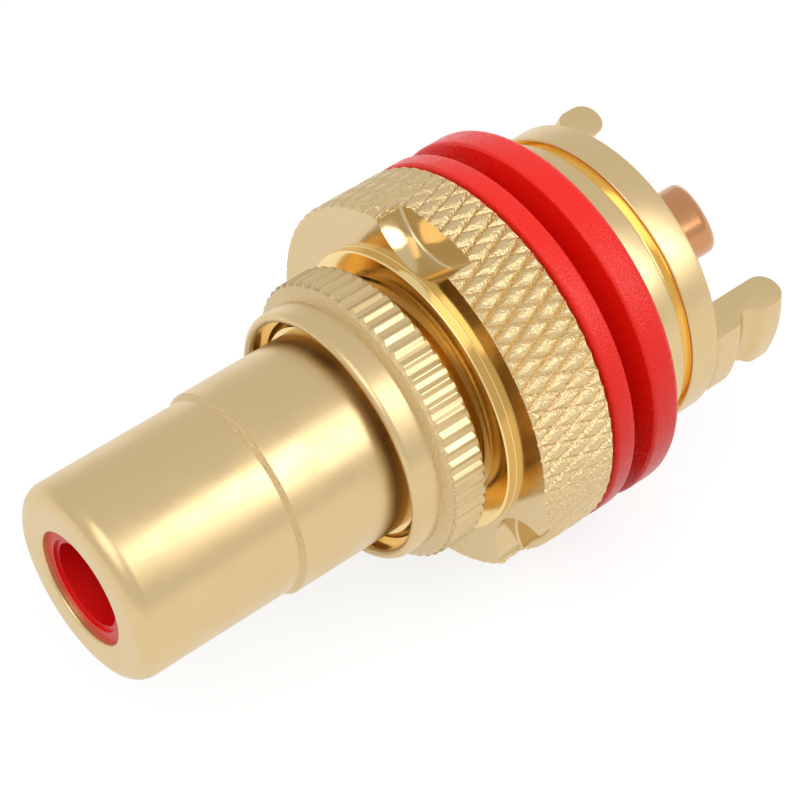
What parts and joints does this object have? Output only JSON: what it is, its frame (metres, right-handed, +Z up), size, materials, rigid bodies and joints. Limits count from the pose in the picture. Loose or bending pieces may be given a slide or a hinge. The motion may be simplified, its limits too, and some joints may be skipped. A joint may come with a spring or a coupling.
{
  "type": "phono socket",
  "caption": "Panel-mounting phono socket: gold-plated barrel, knurled lock ring and mounting nut, red insulating washers, centre solder pin and two rear ground lugs.",
  "frame": {"origin": "on the socket's axis, in the plane of the panel's back face, where the rear washer's flat front bears on it", "axes": "+Y along the socket's axis from the barrel's mouth to the solder pin, +Z up, +X to the right seen from the front"},
  "size_m": [0.016, 0.0318, 0.016],
  "materials": {
    "satin_gold": "satin gold plate over brass",
    "bright_gold": "bright turned gold plate over brass",
    "copper": "plain copper, lightly polished",
    "red_plastic": "finely grained satin",
    "deep_red_plastic": "smooth satin"
  },
  "bodies": {
    "socket": {"shell": "satin_gold", "front_insulator": "deep_red_plastic", "centre_contact": "copper", "rear_insulator": "deep_red_plastic", "retaining_ring": "bright_gold", "rear_washer": "red_plastic"},
    "clamp_washer": {"front_washer": "red_plastic"},
    "nut": {"mounting_nut": "bright_gold"},
    "ring": {"lock_ring": "satin_gold"}
  },
  "joints": [
    {"name": "washer_travel", "type": "slide", "parent": "socket", "child": "clamp_washer", "axis": [0, -1, 0], "range_m": [0, 0.00225]},
    {"name": "nut_turn", "type": "hinge", "parent": "clamp_washer", "child": "nut", "pos_m": [0, -0.0038, 0], "axis": [0, -1, 0], "range_deg": [0, 1080]},
    {"name": "ring_turn", "type": "hinge", "parent": "clamp_washer", "child": "ring", "pos_m": [0, -0.0085, 0], "axis": [0, -1, 0], "range_deg": [0, 1080]}
  ],
  "couplings": [
    {"joint": "washer_travel", "follows": "nut_turn", "m_per_rad": 0.00011937},
    {"joint": "ring_turn", "follows": "nut_turn", "ratio": 1}
  ]
}
